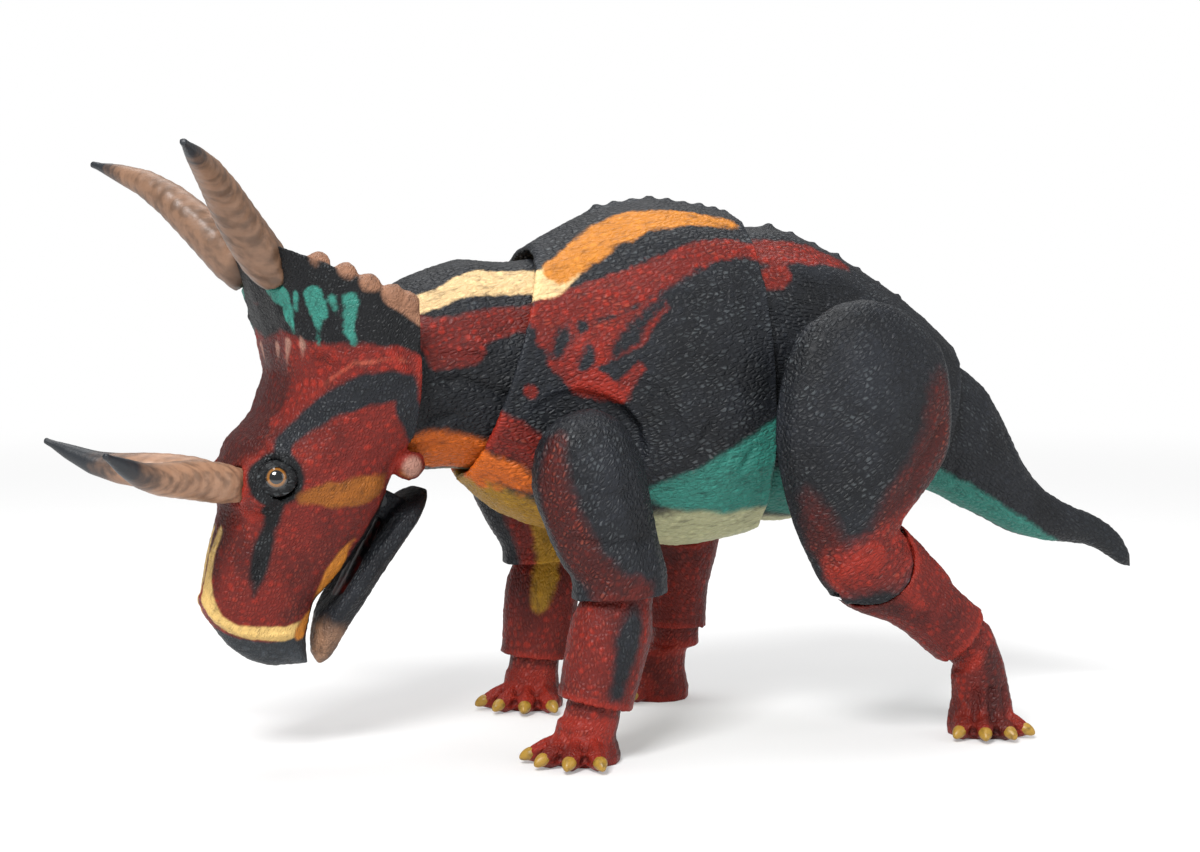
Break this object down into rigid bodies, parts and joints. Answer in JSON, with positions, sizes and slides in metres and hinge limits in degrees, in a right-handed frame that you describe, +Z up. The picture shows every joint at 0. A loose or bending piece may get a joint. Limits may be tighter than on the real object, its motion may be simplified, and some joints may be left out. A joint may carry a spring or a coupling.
{
  "type": "posable toy dinosaur figure",
  "caption": "Standing horned dinosaur figure with a frilled skull, curved horns, hinged jaw and posable neck, waist, tail and limbs; painted plastic.",
  "frame": {"origin": "centre of the bounding box at the ground under the feet", "axes": "+X from the snout to the tail, +Y to the animal's right side, +Z up"},
  "size_m": [0.2872, 0.0956, 0.1436],
  "materials": {
    "dark_hide": "matt paint with a light dry-brush over pebbled scales",
    "joint_plastic": "semi-gloss moulded colour",
    "red_hide": "matt paint with a dark wash",
    "horn_paint": "satin paint, dark at the tip",
    "eye_gloss": "gloss paint",
    "slate_paint": "satin paint",
    "bright_red_hide": "matt paint with a dark wash"
  },
  "bodies": {
    "chest": {"chest": "dark_hide"},
    "neck_ball_link": {"neck_ball_link": "joint_plastic"},
    "neck": {"neck": "red_hide"},
    "head_ball_link": {"head_ball_link": "joint_plastic"},
    "skull": {"skull": "red_hide", "brow_horn_left": "horn_paint", "brow_horn_right": "horn_paint", "frill_horn_left": "horn_paint", "frill_horn_right": "horn_paint", "eye_left": "eye_gloss", "eye_right": "eye_gloss"},
    "lower_jaw": {"lower_jaw": "slate_paint", "jaw_pin": "joint_plastic"},
    "waist_ball_link": {"waist_ball_link": "joint_plastic"},
    "pelvis": {"pelvis": "dark_hide"},
    "tail_ball_link": {"tail_ball_link": "joint_plastic"},
    "tail": {"tail": "dark_hide"},
    "shoulder_hinge_left": {"shoulder_hinge_left": "joint_plastic"},
    "upper_arm_left": {"upper_arm_left": "dark_hide", "shoulder_pin_left": "joint_plastic"},
    "forearm_left": {"forearm_left": "red_hide", "elbow_pin_left": "joint_plastic"},
    "wrist_ball_peg_left": {"wrist_ball_peg_left": "joint_plastic"},
    "hand_left": {"hand_left": "bright_red_hide"},
    "shoulder_hinge_right": {"shoulder_hinge_right": "joint_plastic"},
    "upper_arm_right": {"upper_arm_right": "dark_hide", "shoulder_pin_right": "joint_plastic"},
    "forearm_right": {"forearm_right": "red_hide", "elbow_pin_right": "joint_plastic"},
    "wrist_ball_peg_right": {"wrist_ball_peg_right": "joint_plastic"},
    "hand_right": {"hand_right": "bright_red_hide"},
    "hip_hinge_left": {"hip_hinge_left": "joint_plastic"},
    "thigh_left": {"thigh_left": "dark_hide", "hip_pin_left": "joint_plastic"},
    "shin_left": {"shin_left": "bright_red_hide", "knee_pin_left": "joint_plastic"},
    "ankle_ball_peg_left": {"ankle_ball_peg_left": "joint_plastic"},
    "foot_left": {"foot_left": "bright_red_hide"},
    "hip_hinge_right": {"hip_hinge_right": "joint_plastic"},
    "thigh_right": {"thigh_right": "dark_hide", "hip_pin_right": "joint_plastic"},
    "shin_right": {"shin_right": "bright_red_hide", "knee_pin_right": "joint_plastic"},
    "ankle_ball_peg_right": {"ankle_ball_peg_right": "joint_plastic"},
    "foot_right": {"foot_right": "bright_red_hide"}
  },
  "joints": [
    {"name": "neck_yaw", "type": "hinge", "parent": "chest", "child": "neck_ball_link", "pos_m": [-0.03081, 0.00183, 0.09125], "axis": [0.3007, 0, 0.9537], "range_deg": [-6, 6]},
    {"name": "neck_pitch", "type": "hinge", "parent": "neck_ball_link", "child": "neck", "pos_m": [-0.03939, 0.00183, 0.09395], "axis": [0, 1, 0], "range_deg": [-4, 7]},
    {"name": "head_yaw", "type": "hinge", "parent": "neck", "child": "head_ball_link", "pos_m": [-0.05746, 0.00183, 0.08986], "axis": [-0.2588, 0, 0.9659], "range_deg": [-12, 12]},
    {"name": "head_pitch", "type": "hinge", "parent": "head_ball_link", "child": "skull", "pos_m": [-0.06615, 0.00183, 0.08753], "axis": [0, 1, 0], "range_deg": [-5, 10]},
    {"name": "jaw", "type": "hinge", "parent": "skull", "child": "lower_jaw", "pos_m": [-0.06812, 0.00046, 0.06059], "axis": [0.1429, -0.9896, 0.0158], "range_deg": [-2, 10]},
    {"name": "waist_yaw", "type": "hinge", "parent": "chest", "child": "waist_ball_link", "pos_m": [0.02053, 0.00183, 0.08884], "axis": [-0.061, 0, 0.9981], "range_deg": [-6, 6]},
    {"name": "waist_pitch", "type": "hinge", "parent": "waist_ball_link", "child": "pelvis", "pos_m": [0.02951, 0.00183, 0.08939], "axis": [0, 1, 0], "range_deg": [-5, 5]},
    {"name": "tail_yaw", "type": "hinge", "parent": "pelvis", "child": "tail_ball_link", "pos_m": [0.07423, 0.00183, 0.07804], "axis": [0.2419, 0, 0.9703], "range_deg": [-9, 9]},
    {"name": "tail_pitch", "type": "hinge", "parent": "tail_ball_link", "child": "tail", "pos_m": [0.08296, 0.00183, 0.07586], "axis": [0, 1, 0], "range_deg": [-9, 9]},
    {"name": "shoulder_left_swing", "type": "hinge", "parent": "chest", "child": "shoulder_hinge_left", "pos_m": [-0.02247, -0.02667, 0.07021], "axis": [0, 1, 0], "range_deg": [-20, 20]},
    {"name": "shoulder_left_splay", "type": "hinge", "parent": "shoulder_hinge_left", "child": "upper_arm_left", "pos_m": [-0.02247, -0.02667, 0.07021], "axis": [-0.9588, 0, -0.284], "range_deg": [-3, 12]},
    {"name": "elbow_left", "type": "hinge", "parent": "upper_arm_left", "child": "forearm_left", "pos_m": [-0.01446, -0.03117, 0.04317], "axis": [0, 1, 0], "range_deg": [-12, 2]},
    {"name": "wrist_left_swivel", "type": "hinge", "parent": "forearm_left", "child": "wrist_ball_peg_left", "pos_m": [-0.02142, -0.03117, 0.0142], "axis": [0.2334, 0, 0.9724], "range_deg": [-20, 20]},
    {"name": "wrist_left_pitch", "type": "hinge", "parent": "wrist_ball_peg_left", "child": "hand_left", "pos_m": [-0.02142, -0.03117, 0.0142], "axis": [0, 1, 0], "range_deg": [-12, 12]},
    {"name": "shoulder_right_swing", "type": "hinge", "parent": "chest", "child": "shoulder_hinge_right", "pos_m": [-0.02247, 0.03033, 0.07021], "axis": [0, 1, 0], "range_deg": [-8, 20]},
    {"name": "shoulder_right_splay", "type": "hinge", "parent": "shoulder_hinge_right", "child": "upper_arm_right", "pos_m": [-0.02247, 0.03033, 0.07021], "axis": [0.9455, 0, 0.3256], "range_deg": [-3, 12]},
    {"name": "elbow_right", "type": "hinge", "parent": "upper_arm_right", "child": "forearm_right", "pos_m": [-0.01329, 0.03483, 0.04355], "axis": [0, 1, 0], "range_deg": [-8, 6]},
    {"name": "wrist_right_swivel", "type": "hinge", "parent": "forearm_right", "child": "wrist_ball_peg_right", "pos_m": [-0.01692, 0.03483, 0.01397], "axis": [0.1219, 0, 0.9925], "range_deg": [-20, 20]},
    {"name": "wrist_right_pitch", "type": "hinge", "parent": "wrist_ball_peg_right", "child": "hand_right", "pos_m": [-0.01692, 0.03483, 0.01397], "axis": [0, 1, 0], "range_deg": [-12, 12]},
    {"name": "hip_left_swing", "type": "hinge", "parent": "pelvis", "child": "hip_hinge_left", "pos_m": [0.04753, -0.02767, 0.08478], "axis": [0, 1, 0], "range_deg": [-15, 15]},
    {"name": "hip_left_splay", "type": "hinge", "parent": "hip_hinge_left", "child": "thigh_left", "pos_m": [0.04753, -0.02767, 0.08478], "axis": [-0.9986, 0, 0.0523], "range_deg": [-2, 12]},
    {"name": "knee_left", "type": "hinge", "parent": "thigh_left", "child": "shin_left", "pos_m": [0.04555, -0.03217, 0.04693], "axis": [0, 1, 0], "range_deg": [-5, 15]},
    {"name": "ankle_left_swivel", "type": "hinge", "parent": "shin_left", "child": "ankle_ball_peg_left", "pos_m": [0.07313, -0.03217, 0.02538], "axis": [-0.788, 0, 0.6157], "range_deg": [-20, 20]},
    {"name": "ankle_left_pitch", "type": "hinge", "parent": "ankle_ball_peg_left", "child": "foot_left", "pos_m": [0.07313, -0.03217, 0.02538], "axis": [0, 1, 0], "range_deg": [-12, 12]},
    {"name": "hip_right_swing", "type": "hinge", "parent": "pelvis", "child": "hip_hinge_right", "pos_m": [0.04753, 0.03133, 0.08478], "axis": [0, 1, 0], "range_deg": [-15, 5]},
    {"name": "hip_right_splay", "type": "hinge", "parent": "hip_hinge_right", "child": "thigh_right", "pos_m": [0.04753, 0.03133, 0.08478], "axis": [0.788, 0, -0.6157], "range_deg": [-2, 12]},
    {"name": "knee_right", "type": "hinge", "parent": "thigh_right", "child": "shin_right", "pos_m": [0.0242, 0.03583, 0.05491], "axis": [0, 1, 0], "range_deg": [-15, 10]},
    {"name": "ankle_right_swivel", "type": "hinge", "parent": "shin_right", "child": "ankle_ball_peg_right", "pos_m": [0.02297, 0.03583, 0.01994], "axis": [0.0349, 0, 0.9994], "range_deg": [-20, 20]},
    {"name": "ankle_right_pitch", "type": "hinge", "parent": "ankle_ball_peg_right", "child": "foot_right", "pos_m": [0.02297, 0.03583, 0.01994], "axis": [0, 1, 0], "range_deg": [-12, 12]}
  ]
}
